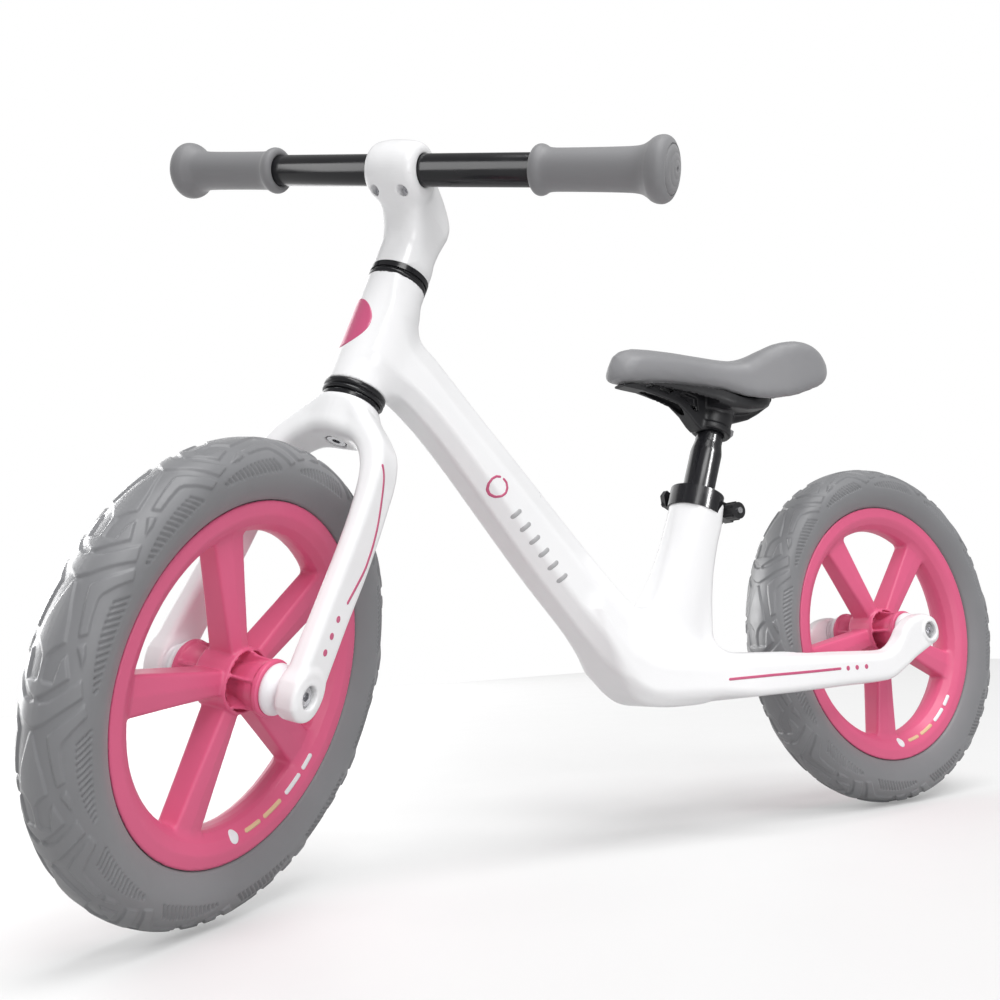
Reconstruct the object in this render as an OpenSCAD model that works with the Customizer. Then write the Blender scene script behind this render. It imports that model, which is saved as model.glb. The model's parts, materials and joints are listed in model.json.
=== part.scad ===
// Balance bike: moulded frame and fork, two spoked wheels on foam tyres, steering
// headset, flat handlebar with grips, and a saddle on a clamped sliding post.
// Row frame: +X forward, +Y to the rider's left, +Z up, millimetres.
// Origin: below the rear axle on the ground, in the frame's middle plane.

/* [Wheels] */
// Outside diameter of both tyres
tyre_d = 290; // [280:1:305]
// Width of a tyre
tyre_w = 44; // [38:1:50]
// Diameter where the tyre meets the rim's edge
rim_d = 218; // [208:1:228]
// Diameter of the open middle of the rim
rim_inner_d = 180; // [170:1:190]
// Width of the rim
rim_w = 30; // [24:1:34]
// Number of spokes in a wheel
spoke_count = 5; // [3:1:9]
// Diameter of the hub barrel
hub_d = 33; // [29:0.5:40]
// Distance between the hub's end faces
hub_w = 64; // [54:1:70]
// Diameter of the axles
axle_d = 9.9; // [8:0.1:10]

/* [Chassis] */
// Distance between the axles with the wheel straight
wheel_base = 588; // [540:1:640]
// Lean of the steering axis back from vertical, degrees
head_angle = 23.5; // [15:0.5:30]
// Distance of the front axle ahead of the steering axis
fork_rake = 12.6; // [0:0.1:40]
// Steering turned to the left in the rest position, degrees
steer_angle = 35.4; // [0:0.1:60]
// Length of the frame's head tube
head_len = 84; // [60:1:110]
// Outside diameter of the head tube and its cups
head_d = 42; // [38:1:48]
// Width of the down tube
down_w = 40; // [30:1:50]
// Clear width between the two rear stays and between the fork legs
leg_gap = 88; // [84:1:96]
// Thickness of a rear stay or a fork leg
leg_t = 13; // [9:1:16]

/* [Saddle] */
// Lean of the seat tube back from vertical, degrees
seat_angle = 21; // [15:0.5:28]
// Diameter of the seat post
post_d = 25.4; // [22:0.1:28.6]
// Length of the seat post
post_len = 175; // [140:1:185]
// Width of the saddle
saddle_w = 116; // [100:1:150]

/* [Handlebar] */
// Width of the handlebar over its grips
bar_w = 392; // [340:1:440]
// Diameter of the handlebar tube
bar_d = 22.2; // [19:0.1:25.4]
// Height of the bar up the steering axis from the axle's level
bar_h = 356; // [340:1:366]
// Distance of the bar ahead of the steering axis
bar_ahead = 43.4; // [40:0.1:50]
// Length of a grip
grip_len = 93; // [80:1:110]

/* [Hidden] */
$fn = 64;

tyre_r = tyre_d / 2;
rim_r = rim_d / 2;
axle_r = axle_d / 2;
bearing_r = 11;
bearing_w = 6;
fit_gap = 0.05;                  // radial clearance of a running fit
rub_gap = 0.3;                   // space between parts that pass each other
bolt_r = 3;
pivot = [wheel_base - fork_rake * cos(head_angle), 0, tyre_r - fork_rake * sin(head_angle)];
crown_top = 194;                 // heights along the steering axis, from the axle's level
arch_h = 166;
steerer_low = 174;
cup_h = 8.5;
race_h = 2;
head_low = crown_top + race_h + rub_gap + cup_h;
head_top = head_low + head_len;
top_race_h = 4;
stem_low = head_top + 4.4 + rub_gap + top_race_h;
steerer_r = 12.7;
steerer_top = stem_low + 30;
seat_top = [201, 0, 251];        // centre of the seat collar's lower face
collar_h = 14.5;
seat_tube_r = 18;
clamp_back = 26;                 // clamp bolt behind the seat tube's axis
socket_low = 68;                 // underside of the saddle's socket up the seat post
boss_r = 14;
clamp_w = 36;                    // stem's bar clamp: width, radius, and its screws
clamp_r = 18;
screw_y = 10.8;
screw_tilt = 37;                 // the screws lean up and back past the bar
lever_y = -19;                   // quick-release lever, beside the seat collar
white = [0.93, 0.93, 0.93];
black = [0.06, 0.06, 0.07];
grey = [0.42, 0.42, 0.44];
pink = [0.78, 0.32, 0.46];
silver = [0.75, 0.75, 0.77];

// Local frame of the steering axis: +Z up the axis, +X ahead, turned with the fork or not
module head_frame() translate(pivot) rotate([0, -head_angle, 0]) children();
module steered() head_frame() rotate([0, 0, steer_angle]) children();
// Local frame of the seat post: +Z up the post, +X ahead
module seat_frame() translate(seat_top) rotate([0, -seat_angle, 0]) children();
module front_axle_frame() steered() translate([fork_rake, 0, 0]) children();
module rear_axle_frame() translate([0, 0, tyre_r]) children();
module mirrored() { children(); mirror([0, 1, 0]) children(); }
// A rod along Y from y0 to y1
module rod_y(r, y0, y1) translate([0, y1, 0]) rotate([90, 0, 0]) cylinder(h = y1 - y0, r = r);
module tube_z(r_out, r_in, h) {
    difference() {
        cylinder(h = h, r = r_out);
        translate([0, 0, -1]) cylinder(h = h + 2, r = r_in);
    }
}
// A side outline in X and Z, given a thickness along Y about y_mid
module side_plate(y_mid, t) translate([0, y_mid + t / 2, 0]) rotate([90, 0, 0])
    linear_extrude(height = t) children();

// ---------- wheels ----------
module tyre() {
    side_r = tyre_w / 2;
    seat_w = rim_w / 2;
    rotate([90, 0, 0]) rotate_extrude($fn = 128) polygon([
        [rim_r, -seat_w + 2], [rim_r + 1.5, -seat_w - 0.5], [rim_r + 9, -side_r + 2], [rim_r + 17, -side_r],
        [tyre_r - 11, -side_r + 1], [tyre_r - 4, -side_r + 7], [tyre_r - 1, -side_r + 14],
        [tyre_r, -4], [tyre_r, 4], [tyre_r - 1, side_r - 14], [tyre_r - 4, side_r - 7],
        [tyre_r - 11, side_r - 1], [rim_r + 17, side_r], [rim_r + 9, side_r - 2],
        [rim_r + 1.5, seat_w + 0.5], [rim_r, seat_w - 2], [rim_r, 8], [rim_r - 4, 7],
        [rim_r - 4, -7], [rim_r, -8]]);
}

module rim_ring() {
    edge = rim_w / 2;
    rotate([90, 0, 0]) rotate_extrude($fn = 128) polygon([
        [rim_inner_d / 2, -6], [rim_inner_d / 2 + 4, -edge + 3], [rim_r - 8, -edge], [rim_r, -edge],
        [rim_r, -8], [rim_r - 4, -7], [rim_r - 4, 7], [rim_r, 8], [rim_r, edge],
        [rim_r - 8, edge], [rim_inner_d / 2 + 4, edge - 3], [rim_inner_d / 2, 6]]);
}

module spoke() cylinder(h = rim_inner_d / 2 + 2, r1 = 6.5, r2 = 8.5);

// A wheel's rim, spokes and hub in one moulding, first spoke at the given angle
module rim(first_angle) {
    difference() {
        union() {
            rim_ring();
            rod_y(hub_d / 2, -hub_w / 2, hub_w / 2);
            for (i = [0 : spoke_count - 1])
                rotate([0, first_angle + i * 360 / spoke_count, 0]) spoke();
        }
        rod_y(bearing_r - 3, -hub_w, hub_w);
        mirrored() rod_y(bearing_r, hub_w / 2 - bearing_w, hub_w);
    }
}

module bearings() {
    mirrored() difference() {
        rod_y(bearing_r, hub_w / 2 - bearing_w, hub_w / 2);
        rod_y(axle_r + fit_gap, 0, hub_w);
    }
}

module axle() {
    difference() {
        rod_y(axle_r, -leg_gap / 2, leg_gap / 2);
        mirrored() rod_y(bolt_r, leg_gap / 2 - 18, leg_gap);
    }
}

// Tapered sleeves that hold the wheel central between the two legs
module spacers() {
    long = leg_gap / 2 - hub_w / 2 - rub_gap;
    mirrored() translate([0, leg_gap / 2, 0]) rotate([90, 0, 0]) difference() {
        cylinder(h = long, r1 = boss_r - 3, r2 = boss_r);
        translate([0, 0, -1]) cylinder(h = long + 2, r = axle_r);
    }
}

// Socket-head bolts screwed into both ends of an axle
module axle_bolts() {
    head = leg_gap / 2 + leg_t - 7;
    mirrored() difference() {
        union() {
            rod_y(bolt_r, leg_gap / 2 - 16, head + 1);
            rod_y(5.5, head, head + 5.5);
        }
        translate([0, head + 6, 0]) rotate([90, 0, 0]) cylinder(h = 3.5, r = 2.9, $fn = 6);
    }
}

// Round end of a leg, and the stepped hole that takes the axle's bolt
module boss() mirrored() rod_y(boss_r, leg_gap / 2, leg_gap / 2 + leg_t);
module boss_holes() {
    mirrored() rod_y(bolt_r, leg_gap / 2 - 1, leg_gap);
    mirrored() rod_y(7.5, leg_gap / 2 + leg_t - 7, leg_gap);
}

module rear_rim() color(pink) rear_axle_frame() rim(32);
module rear_tyre() color(grey) rear_axle_frame() tyre();
module rear_bearings() color(silver) rear_axle_frame() bearings();
module rear_axle() color(silver) rear_axle_frame() axle();
module rear_spacers() color(white) rear_axle_frame() spacers();
module rear_axle_bolts() color(silver) rear_axle_frame() axle_bolts();
module front_rim() color(pink) front_axle_frame() rim(40);
module front_tyre() color(grey) front_axle_frame() tyre();
module front_bearings() color(silver) front_axle_frame() bearings();
module front_axle() color(silver) front_axle_frame() axle();
module front_spacers() color(white) front_axle_frame() spacers();
module front_axle_bolts() color(silver) front_axle_frame() axle_bolts();

// ---------- frame ----------
// Eight-sided section of the down tube, seen along the tube, from its top to its flat underside
module down_section(depth) linear_extrude(height = 1) polygon([
    [0, -down_w * 0.24], [depth * 0.46, -down_w / 2], [depth * 0.56, -down_w / 2], [depth, -down_w * 0.28],
    [depth, down_w * 0.28], [depth * 0.56, down_w / 2], [depth * 0.46, down_w / 2], [0, down_w * 0.24]]);

module down_tube() {
    lean = 40;
    hull() {
        translate([446, 0, 302]) rotate([0, lean, 0]) translate([-43, 0, 0]) down_section(43);
        translate([304, 0, 128]) rotate([0, lean, 0]) translate([-45, 0, 0]) down_section(45);
    }
}

// Web that spreads the head tube into the down tube
module head_gusset() side_plate(0, down_w - 14) polygon([
    [477, 330], [461, 317], [445, 300], [428, 278], [402, 306], [428, 332], [441, 347], [449, 360],
    [456, 374]]);

// Side outline of the lower body and the stays, up to the axle bosses
module stay_outline() offset(r = 5) offset(delta = -5) polygon([
    [330, 168], [306, 130], [280, 108], [250, 100], [150, 101], [60, 106], [36, 109], [17, 119], [0, 131],
    [-13, 140], [0, tyre_r + boss_r], [12, 142], [22, 134], [38, 131], [215, 132], [262, 148], [300, 188]]);

// Plan outline of the lower body: one block ahead that splits into two stays
module stay_plan() {
    half = leg_gap / 2;
    offset(r = 4) offset(delta = -4) difference() {
        polygon([[340, -19], [340, 19], [285, 22], [225, 38], [170, half + leg_t - 1], [-20, half + leg_t],
                 [-20, -half - leg_t], [170, 1 - half - leg_t], [225, -38], [285, -22]]);
        polygon([[-40, -half], [-40, half], [140, half], [162, 30], [168, 12], [168, -12], [162, -30],
                 [140, -half]]);
    }
}

module stays() {
    intersection() {
        side_plate(0, 2 * leg_gap) stay_outline();
        translate([0, 0, 60]) linear_extrude(height = 160) stay_plan();
    }
    rear_axle_frame() boss();
}

// Foot of the seat tube, spreading into the lower body
module seat_foot() side_plate(0, 28) polygon([
    [190, 240], [214, 248], [228, 216], [246, 190], [262, 172], [270, 140], [212, 125], [212, 178], [204, 214]]);

module seat_tube() seat_frame() translate([0, 0, -125]) cylinder(h = 125 + collar_h - 2, r = seat_tube_r);

module frame() color(white) difference() {
    union() {
        down_tube();
        head_gusset();
        head_frame() translate([0, 0, head_low]) cylinder(h = head_len, r = head_d / 2);
        stays();
        seat_foot();
        seat_tube();
    }
    head_frame() translate([0, 0, head_low - 1]) cylinder(h = head_len + 2, r = steerer_r + 2);
    head_frame() translate([0, 0, head_low - 1]) cylinder(h = 9, r = 17);
    head_frame() translate([0, 0, head_top - 8]) cylinder(h = 9, r = 17);
    seat_frame() translate([0, 0, -134]) cylinder(h = 160, r = post_d / 2 + fit_gap);
    seat_frame() translate([-40, -1.5, -12]) cube([40, 3, 40]);
    rear_axle_frame() boss_holes();
}

// ---------- headset ----------
// Cup: a flange that stands out of the head tube and a sleeve pressed into it
module cup(flange_h) difference() {
    union() {
        cylinder(h = flange_h, r = head_d / 2);
        translate([0, 0, -8]) cylinder(h = 9, r = 17);
    }
    translate([0, 0, -9]) cylinder(h = flange_h + 10, r = 15.5);
}

module headset_bearing(h) tube_z(15.5, steerer_r + fit_gap, h);

module upper_cup() color(black) head_frame() translate([0, 0, head_top]) cup(4.4);
module lower_cup() color(black) head_frame() translate([0, 0, head_low]) mirror([0, 0, 1]) cup(cup_h);
module upper_bearing() color(silver) head_frame() translate([0, 0, head_top - 4]) headset_bearing(8);
module lower_bearing() color(silver) head_frame() translate([0, 0, head_low - 7]) headset_bearing(8);
module crown_race() color(black) steered() translate([0, 0, crown_top])
    tube_z(head_d / 2 - 0.8, steerer_r, race_h);
module top_race() color(black) steered() translate([0, 0, stem_low - top_race_h])
    tube_z(head_d / 2, steerer_r, top_race_h);

// ---------- fork ----------
// Front view of the fork in lateral and axial distance: crown, arch and two legs
module fork_front() {
    half = leg_gap / 2;
    out = half + leg_t;
    offset(r = 3) offset(delta = -3) difference() {
        polygon([[-19, crown_top + 3], [-22, 187], [-32, 176], [-42, 164], [-48, 148], [-out + 6, 125],
                 [-out + 3, 80], [-out, 20], [-out, 0], [out, 0], [out, 20], [out - 3, 80], [out - 6, 125],
                 [48, 148], [42, 164], [32, 176], [22, 187], [19, crown_top + 3]]);
        polygon([[-half, -9], [-half, 10], [-half + 2, 60], [-half + 5, 110], [-half + 9, 136], [-28, 154],
                 [-12, arch_h], [12, arch_h], [28, 154], [half - 9, 136], [half - 5, 110], [half - 2, 60],
                 [half, 10], [half, -9]]);
    }
}

// Side view of the fork in forward and axial distance
module fork_side() offset(r = 3) offset(delta = -3) polygon([
    [-19, crown_top + 3], [-17, 186], [-12, 172], [-10, 140], [-8, 105], [-1, 60], [fork_rake - 11, 10],
    [fork_rake - 11, 0], [fork_rake + 11, 0], [fork_rake + 9, 20], [17, 60], [14, 100], [13, 130],
    [14, 158], [18, 184], [19, crown_top + 3]]);

module fork() color(white) steered() difference() {
    union() {
        intersection() {
            translate([-50, 0, 0]) rotate([90, 0, 90]) linear_extrude(height = 120) fork_front();
            side_plate(0, 160) fork_side();
            cylinder(h = crown_top, r = 80);
        }
        translate([0, 0, arch_h + 6]) cylinder(h = crown_top - arch_h - 6, r = 19.5);
        translate([fork_rake, 0, 0]) boss();
    }
    translate([0, 0, steerer_low]) cylinder(h = 40, r = steerer_r);
    translate([0, 0, 140]) cylinder(h = 60, r = 4.3);
    translate([0, 0, 140]) cylinder(h = arch_h + 5.5 - 140, r = 7.5);
    translate([fork_rake, 0, 0]) boss_holes();
}

module steerer() color(silver) steered() translate([0, 0, steerer_low])
    tube_z(steerer_r, steerer_r - 1.6, steerer_top - steerer_low);

// Long bolt from under the crown, up the steerer, into the stem
module steerer_bolt() color(silver) steered() difference() {
    union() {
        translate([0, 0, arch_h + 0.5]) cylinder(h = 5, r = 6.5);
        translate([0, 0, arch_h + 5]) cylinder(h = steerer_top - arch_h + 8, r = 4);
    }
    translate([0, 0, arch_h]) cylinder(h = 4, r = 3.2, $fn = 6);
}

// ---------- stem and handlebar ----------

// Side outline of the whole stem: neck, rear hump and the clamp that overhangs ahead
module stem_outline() offset(r = 4) offset(delta = -4) {
    polygon([[-20, stem_low], [20, stem_low], [20, stem_low + 24], [26, bar_h - 21], [42, bar_h - 15.5],
             [bar_ahead + 12, bar_h - 8], [bar_ahead + 12, bar_h + 13], [bar_ahead - 14, bar_h + clamp_r - 1],
             [4, bar_h + 14], [-14, bar_h + 6], [-18, bar_h - 2], [-18, stem_low + 14]]);
    translate([bar_ahead, bar_h]) circle(r = clamp_r);
}

module stem_solid() intersection() {
    side_plate(0, clamp_w) stem_outline();
    union() {
        translate([0, 0, stem_low]) cylinder(h = 60, r = 20);
        translate([0, -14, stem_low + 26]) cube([90, 28, 60]);
        translate([bar_ahead - clamp_r, -clamp_w / 2, bar_h - 40]) cube([80, clamp_w, 80]);
    }
}

// Frame of the clamp: origin on the bar's axis, +X out along the screws towards their heads
module clamp_frame() translate([bar_ahead, 0, bar_h]) rotate([0, screw_tilt, 0]) children();
module cap_region() clamp_frame() translate([0.5, -50, -23]) cube([60, 100, 83]);
module bar_hole() translate([bar_ahead, 0, bar_h]) rod_y(bar_d / 2, -60, 60);
module screw_place() clamp_frame() for (y = [-screw_y, screw_y])
    translate([7, y, -13.8]) rotate([0, 90, 0]) children();

module stem() color(white) steered() difference() {
    stem_solid();
    translate([-0.6, 0, 0]) cap_region();
    bar_hole();
    translate([0, 0, stem_low - 1]) cylinder(h = steerer_top - stem_low + 1, r = steerer_r);
    translate([0, 0, stem_low - 1]) cylinder(h = steerer_top - stem_low + 15.5, r = 4);
    screw_place() translate([0, 0, -22]) cylinder(h = 40, r = 2);
}

module stem_cap() color(white) steered() difference() {
    intersection() {
        stem_solid();
        cap_region();
    }
    bar_hole();
    screw_place() translate([0, 0, -20]) cylinder(h = 80, r = 2.2);
    screw_place() translate([0, 0, -0.5]) cylinder(h = 40, r = 4.2);
}

module stem_screws() color(silver) steered() screw_place() difference() {
    union() {
        translate([0, 0, -20]) cylinder(h = 20, r = 2);
        translate([0, 0, -0.5]) cylinder(h = 3.2, r = 3.6);
    }
    translate([0, 0, 1]) cylinder(h = 4, r = 1.7, $fn = 6);
}

module handlebar() color(black) steered() translate([bar_ahead, 0, bar_h]) difference() {
    rod_y(bar_d / 2, -bar_w / 2 + 4, bar_w / 2 - 4);
    rod_y(bar_d / 2 - 1.6, -bar_w, bar_w);
}

// Grip: inner flange, waisted body and a wide rounded end cap with a small vent
module grip() {
    start = bar_w / 2 - grip_len;
    end = bar_w / 2;
    r_bar = bar_d / 2;
    rotate([-90, 0, 0]) rotate_extrude() polygon([
        [r_bar, start], [14.6, start], [16.4, start + 2.5], [16.4, start + 5], [14.8, start + 9],
        [13.6, start + 14], [13.6, end - 24], [14.8, end - 16], [18.6, end - 11], [20.3, end - 8],
        [20.5, end - 4], [19.3, end - 1], [17, end], [2, end], [2, end - 4], [r_bar, end - 4]]);
}

module left_grip() color(grey) steered() translate([bar_ahead, 0, bar_h]) grip();
module right_grip() color(grey) steered() translate([bar_ahead, 0, bar_h]) mirror([0, 1, 0]) grip();

// ---------- seat clamp ----------
module seat_collar() color(black) seat_frame() difference() {
    union() {
        cylinder(h = collar_h, r = seat_tube_r + 3.5);
        translate([0, 0, -2]) cylinder(h = 2, r = seat_tube_r + 3.5);
        translate([-clamp_back - 7, -11, 1]) cube([14, 22, collar_h - 2]);
        translate([-clamp_back, -9, 1]) cube([16, 18, collar_h - 2]);
    }
    translate([0, 0, -5]) cylinder(h = collar_h + 3, r = seat_tube_r);
    translate([0, 0, -5]) cylinder(h = collar_h + 10, r = post_d / 2 + 0.4);
    translate([-clamp_back - 10, -1.5, -5]) cube([30, 3, 30]);
    translate([-clamp_back, 0, collar_h / 2]) rod_y(2.6, -40, 40);
}

// Skewer through the collar's ears: threaded end on the left, eye for the lever's pin on the right
module clamp_bolt() color(silver) seat_frame() translate([-clamp_back, 0, collar_h / 2]) difference() {
    union() {
        rod_y(2.5, lever_y + 2, 24.5);
        translate([0, lever_y, -2.9]) cylinder(h = 5.8, r = 4.2);
    }
    translate([0, lever_y, -4]) cylinder(h = 8, r = 2.05);
}

module clamp_nut() color(black) seat_frame() translate([-clamp_back, 0, collar_h / 2]) difference() {
    union() {
        rod_y(6.8, 11.4, 23);
        for (i = [0 : 5]) rotate([0, i * 60, 0]) translate([6.4, 0, 0]) rod_y(1.2, 11.4, 21);
    }
    rod_y(2.5 + fit_gap, 0, 40);
}

// Lever whose forked cam turns on a pin in the skewer's eye, and wraps round the collar
module clamp_lever() color(black) seat_frame() translate([-clamp_back, lever_y, collar_h / 2]) difference() {
    union() {
        translate([0, 0, -6]) cylinder(h = 12, r = 6.8);
        translate([0, 0, -4.5]) linear_extrude(height = 9)
            polygon([[2, -6], [18, -7], [30, -6], [37, -4], [39, -8], [30, -11], [18, -12], [0, -6.8]]);
        translate([30, -4, -3]) rotate([90, 0, 0]) linear_extrude(height = 5)
            polygon([[0, -2], [7, -2], [11, 6], [9, 11], [4, 10]]);
    }
    translate([-8, -8, -3.2]) cube([12.6, 20, 6.4]);
    translate([0, 0, -8]) cylinder(h = 16, r = 2);
}

module clamp_pin() color(silver) seat_frame() translate([-clamp_back, lever_y, collar_h / 2 - 5.6])
    cylinder(h = 11.2, r = 2);

// ---------- saddle ----------
// Straight tube with a narrower neck where the socket takes it
module seat_post() color(black) seat_frame() difference() {
    top = socket_low + 20;
    union() {
        translate([0, 0, top - post_len]) cylinder(h = post_len - 38, r = post_d / 2);
        translate([0, 0, top - 38]) cylinder(h = 8, r1 = post_d / 2, r2 = 11);
        translate([0, 0, top - 30]) cylinder(h = 30, r = 11);
    }
    translate([0, 0, top - post_len - 1]) cylinder(h = post_len + 2, r = 9.4);
    translate([-20, 0, socket_low + 9]) rotate([0, 90, 0]) cylinder(h = 40, r = 2.5);
}

// Plan outline of the saddle, its width scaled about the middle line by s
module saddle_plan(s) {
    half = saddle_w / 2;
    offset(r = 12) offset(delta = -12) polygon([
        [274, -s * 14], [274, s * 14], [215, s * 20], [170, s * 29], [140, s * (half - 14)], [112, s * half],
        [98, s * half], [80, s * (half - 10)], [68, s * 22], [68, -s * 22], [80, -s * (half - 10)],
        [98, -s * half], [112, -s * half], [140, -s * (half - 14)], [170, -s * 29], [215, -s * 20]]);
}

module saddle_pad() color(grey) intersection() {
    side_plate(0, 2 * saddle_w) offset(r = 4) offset(delta = -4) polygon([
        [274, 362], [262, 371], [235, 374], [190, 371], [150, 370], [128, 377], [110, 387], [94, 391],
        [78, 388], [68, 379], [70, 367], [88, 353], [125, 346], [165, 352], [220, 355], [262, 352], [272, 350]]);
    translate([0, 0, 320]) linear_extrude(height = 100) saddle_plan(1);
}

// Stiff shell under the pad with the socket for the post and the web that carries it
module saddle_base() color(black) difference() {
    union() {
        intersection() {
            side_plate(0, 2 * saddle_w) polygon([
                [270, 349], [262, 352], [220, 355], [165, 352], [125, 346], [92, 351], [86, 347],
                [100, 342], [125, 339], [165, 340], [215, 345], [262, 347]]);
            translate([4, 0, 320]) linear_extrude(height = 60) saddle_plan(0.74);
        }
        seat_frame() translate([0, 0, socket_low]) cylinder(h = 30, r = 15.5);
        side_plate(0, 26) polygon([[240, 347], [216, 341], [192, 325], [150, 330], [122, 338], [110, 345]]);
    }
    seat_frame() translate([0, 0, socket_low - 1]) cylinder(h = 21, r = 11);
    seat_frame() translate([0, 0, socket_low - 9]) cylinder(h = 9, r = 20);
    saddle_bolt_place() translate([0, 0, -40]) cylinder(h = 80, r = 2.5);
    saddle_bolt_place() translate([0, 0, 17.5]) cylinder(h = 40, r = 5);
    saddle_bolt_place() translate([0, 0, -57]) cylinder(h = 40, r = 5);
}

// Cross bolt through the socket and the post, head ahead and nut behind
module saddle_bolt_place() seat_frame() translate([0, 0, socket_low + 9]) rotate([0, 90, 0]) children();

module saddle_bolt() color(silver) saddle_bolt_place() difference() {
    union() {
        translate([0, 0, -20.5]) cylinder(h = 39, r = 2.5);
        translate([0, 0, 17.5]) cylinder(h = 3.5, r = 4.4);
    }
    translate([0, 0, 19]) cylinder(h = 4, r = 2, $fn = 6);
}

module saddle_nut() color(silver) saddle_bolt_place() difference() {
    translate([0, 0, -20.6]) cylinder(h = 3.6, r = 4.4, $fn = 6);
    translate([0, 0, -30]) cylinder(h = 40, r = 2.5);
}

frame();
upper_cup();
lower_cup();
upper_bearing();
lower_bearing();
seat_collar();
clamp_bolt();
clamp_nut();
clamp_lever();
clamp_pin();
rear_axle();
rear_axle_bolts();
rear_spacers();
rear_rim();
rear_tyre();
rear_bearings();
fork();
steerer();
crown_race();
top_race();
steerer_bolt();
stem();
stem_cap();
stem_screws();
handlebar();
left_grip();
right_grip();
front_axle();
front_axle_bolts();
front_spacers();
front_rim();
front_tyre();
front_bearings();
seat_post();
saddle_base();
saddle_pad();
saddle_bolt();
saddle_nut();
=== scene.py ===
"""Balance bike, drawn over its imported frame.

Lengths in the fields and outlines are millimetres; meshes are written in metres.
Smooth moulded parts are fields: a function that is negative inside the part, blended from
outlines and rods, and skinned with quads that are moved onto its zero surface.
"""

import json
import math
from itertools import product

import bpy
import numpy as np
from mathutils import Matrix, Vector


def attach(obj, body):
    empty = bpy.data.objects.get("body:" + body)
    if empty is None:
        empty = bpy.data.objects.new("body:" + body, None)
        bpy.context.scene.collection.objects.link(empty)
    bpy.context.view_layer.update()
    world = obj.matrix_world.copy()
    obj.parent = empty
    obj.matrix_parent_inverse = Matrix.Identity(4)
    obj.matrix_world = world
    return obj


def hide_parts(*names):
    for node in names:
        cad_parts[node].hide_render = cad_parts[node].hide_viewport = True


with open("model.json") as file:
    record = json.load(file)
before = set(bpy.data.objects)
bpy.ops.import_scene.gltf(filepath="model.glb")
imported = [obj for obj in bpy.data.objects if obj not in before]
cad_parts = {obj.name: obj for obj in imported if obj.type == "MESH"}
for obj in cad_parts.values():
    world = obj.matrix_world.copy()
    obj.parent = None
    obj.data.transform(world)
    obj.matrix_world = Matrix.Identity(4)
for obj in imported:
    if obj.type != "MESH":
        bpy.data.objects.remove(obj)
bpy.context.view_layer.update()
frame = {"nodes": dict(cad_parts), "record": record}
MM = 0.001

# ---------- places taken from the frame ----------
JOINTS = {j["name"]: j for j in frame["record"]["behaviour"]["joints"]}


def mm(v):
    """Millimetres from the frame's metres."""
    return np.array(v, float) / MM


STEER_POINT = mm(JOINTS["steering"]["pos_m"])
STEER_AXIS = np.array(JOINTS["steering"]["axis"], float)
FRONT_AXLE = mm(JOINTS["front_wheel_spin"]["pos_m"])
FRONT_SIDE = np.array(JOINTS["front_wheel_spin"]["axis"], float)
REAR_AXLE = mm(JOINTS["rear_wheel_spin"]["pos_m"])
POST_AXIS = np.array(JOINTS["saddle_height"]["axis"], float)
TYRE_R = float(REAR_AXLE[2])
SEAT_TOP = np.array([201.0, 0.0, 251.0])     # centre of the collar's lower face


class Place:
    """A local frame in millimetres: its origin and its three axes in the row frame."""

    def __init__(self, origin, ex, ey, ez):
        self.origin = np.array(origin, float)
        self.axes = np.array([ex, ey, ez], float)

    def out(self, p):
        return self.origin + np.asarray(p, float) @ self.axes

    def turn(self, n):
        return np.asarray(n, float) @ self.axes


def unit(v):
    return np.asarray(v, float) / np.linalg.norm(v)


ROW = Place((0, 0, 0), (1, 0, 0), (0, 1, 0), (0, 0, 1))
HEAD = Place(STEER_POINT, unit(np.cross((0, 1, 0), STEER_AXIS)), (0, 1, 0), STEER_AXIS)
FORK = Place(STEER_POINT, unit(np.cross(FRONT_SIDE, STEER_AXIS)), FRONT_SIDE, STEER_AXIS)
SEAT = Place(SEAT_TOP, unit(np.cross((0, 1, 0), POST_AXIS)), (0, 1, 0), POST_AXIS)
REAR_WHEEL = Place(REAR_AXLE, (1, 0, 0), (0, 1, 0), (0, 0, 1))
FRONT_WHEEL = Place(FRONT_AXLE, FORK.axes[0], FORK.axes[1], FORK.axes[2])

# ---------- fields ----------


def smax(a, b, k):
    """Larger of two fields, its inner corner rounded over about k."""
    h = np.maximum(k - np.abs(a - b), 0) / k
    return np.maximum(a, b) + h * h * k / 4


def smin(a, b, k):
    """Smaller of two fields, their meeting filled in over about k."""
    return -smax(-a, -b, k)


def inside_of(u, v, points):
    """Signed distance to a closed outline, negative inside."""
    points = np.asarray(points, float)
    near, within = None, False
    for (ax, ay), (bx, by) in zip(points, np.roll(points, -1, 0)):
        ex, ey = bx - ax, by - ay
        wu, wv = u - ax, v - ay
        t = np.clip((wu * ex + wv * ey) / (ex * ex + ey * ey), 0, 1)
        d = (wu - ex * t) ** 2 + (wv - ey * t) ** 2
        near = d if near is None else np.minimum(near, d)
        low, high, left = v >= ay, v < by, ex * wv > ey * wu
        within = within ^ ((low & high & left) | (~low & ~high & ~left))
    return np.where(within, -1.0, 1.0) * np.sqrt(near)


def curve(points, steps=6):
    """Smooth line through the points (Catmull-Rom)."""
    p = np.asarray(points, float)
    p = np.vstack([2 * p[0] - p[1], p, 2 * p[-1] - p[-2]])
    out = []
    for a, b, c, d in zip(p[:-3], p[1:-2], p[2:-1], p[3:]):
        for t in np.arange(steps) / steps:
            out.append(0.5 * (2 * b + (c - a) * t + (2 * a - 5 * b + 4 * c - d) * t * t
                              + (3 * b - a - 3 * c + d) * t ** 3))
    return np.array(out + [p[-2]])


def mirrored(half):
    """Closed plan from the outline of its left half, given as (x, y) points."""
    half = np.asarray(half, float)
    return np.vstack([half, (half * (1, -1))[::-1]])


def smoothstep(t):
    return t * t * (3 - 2 * t)


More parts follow.
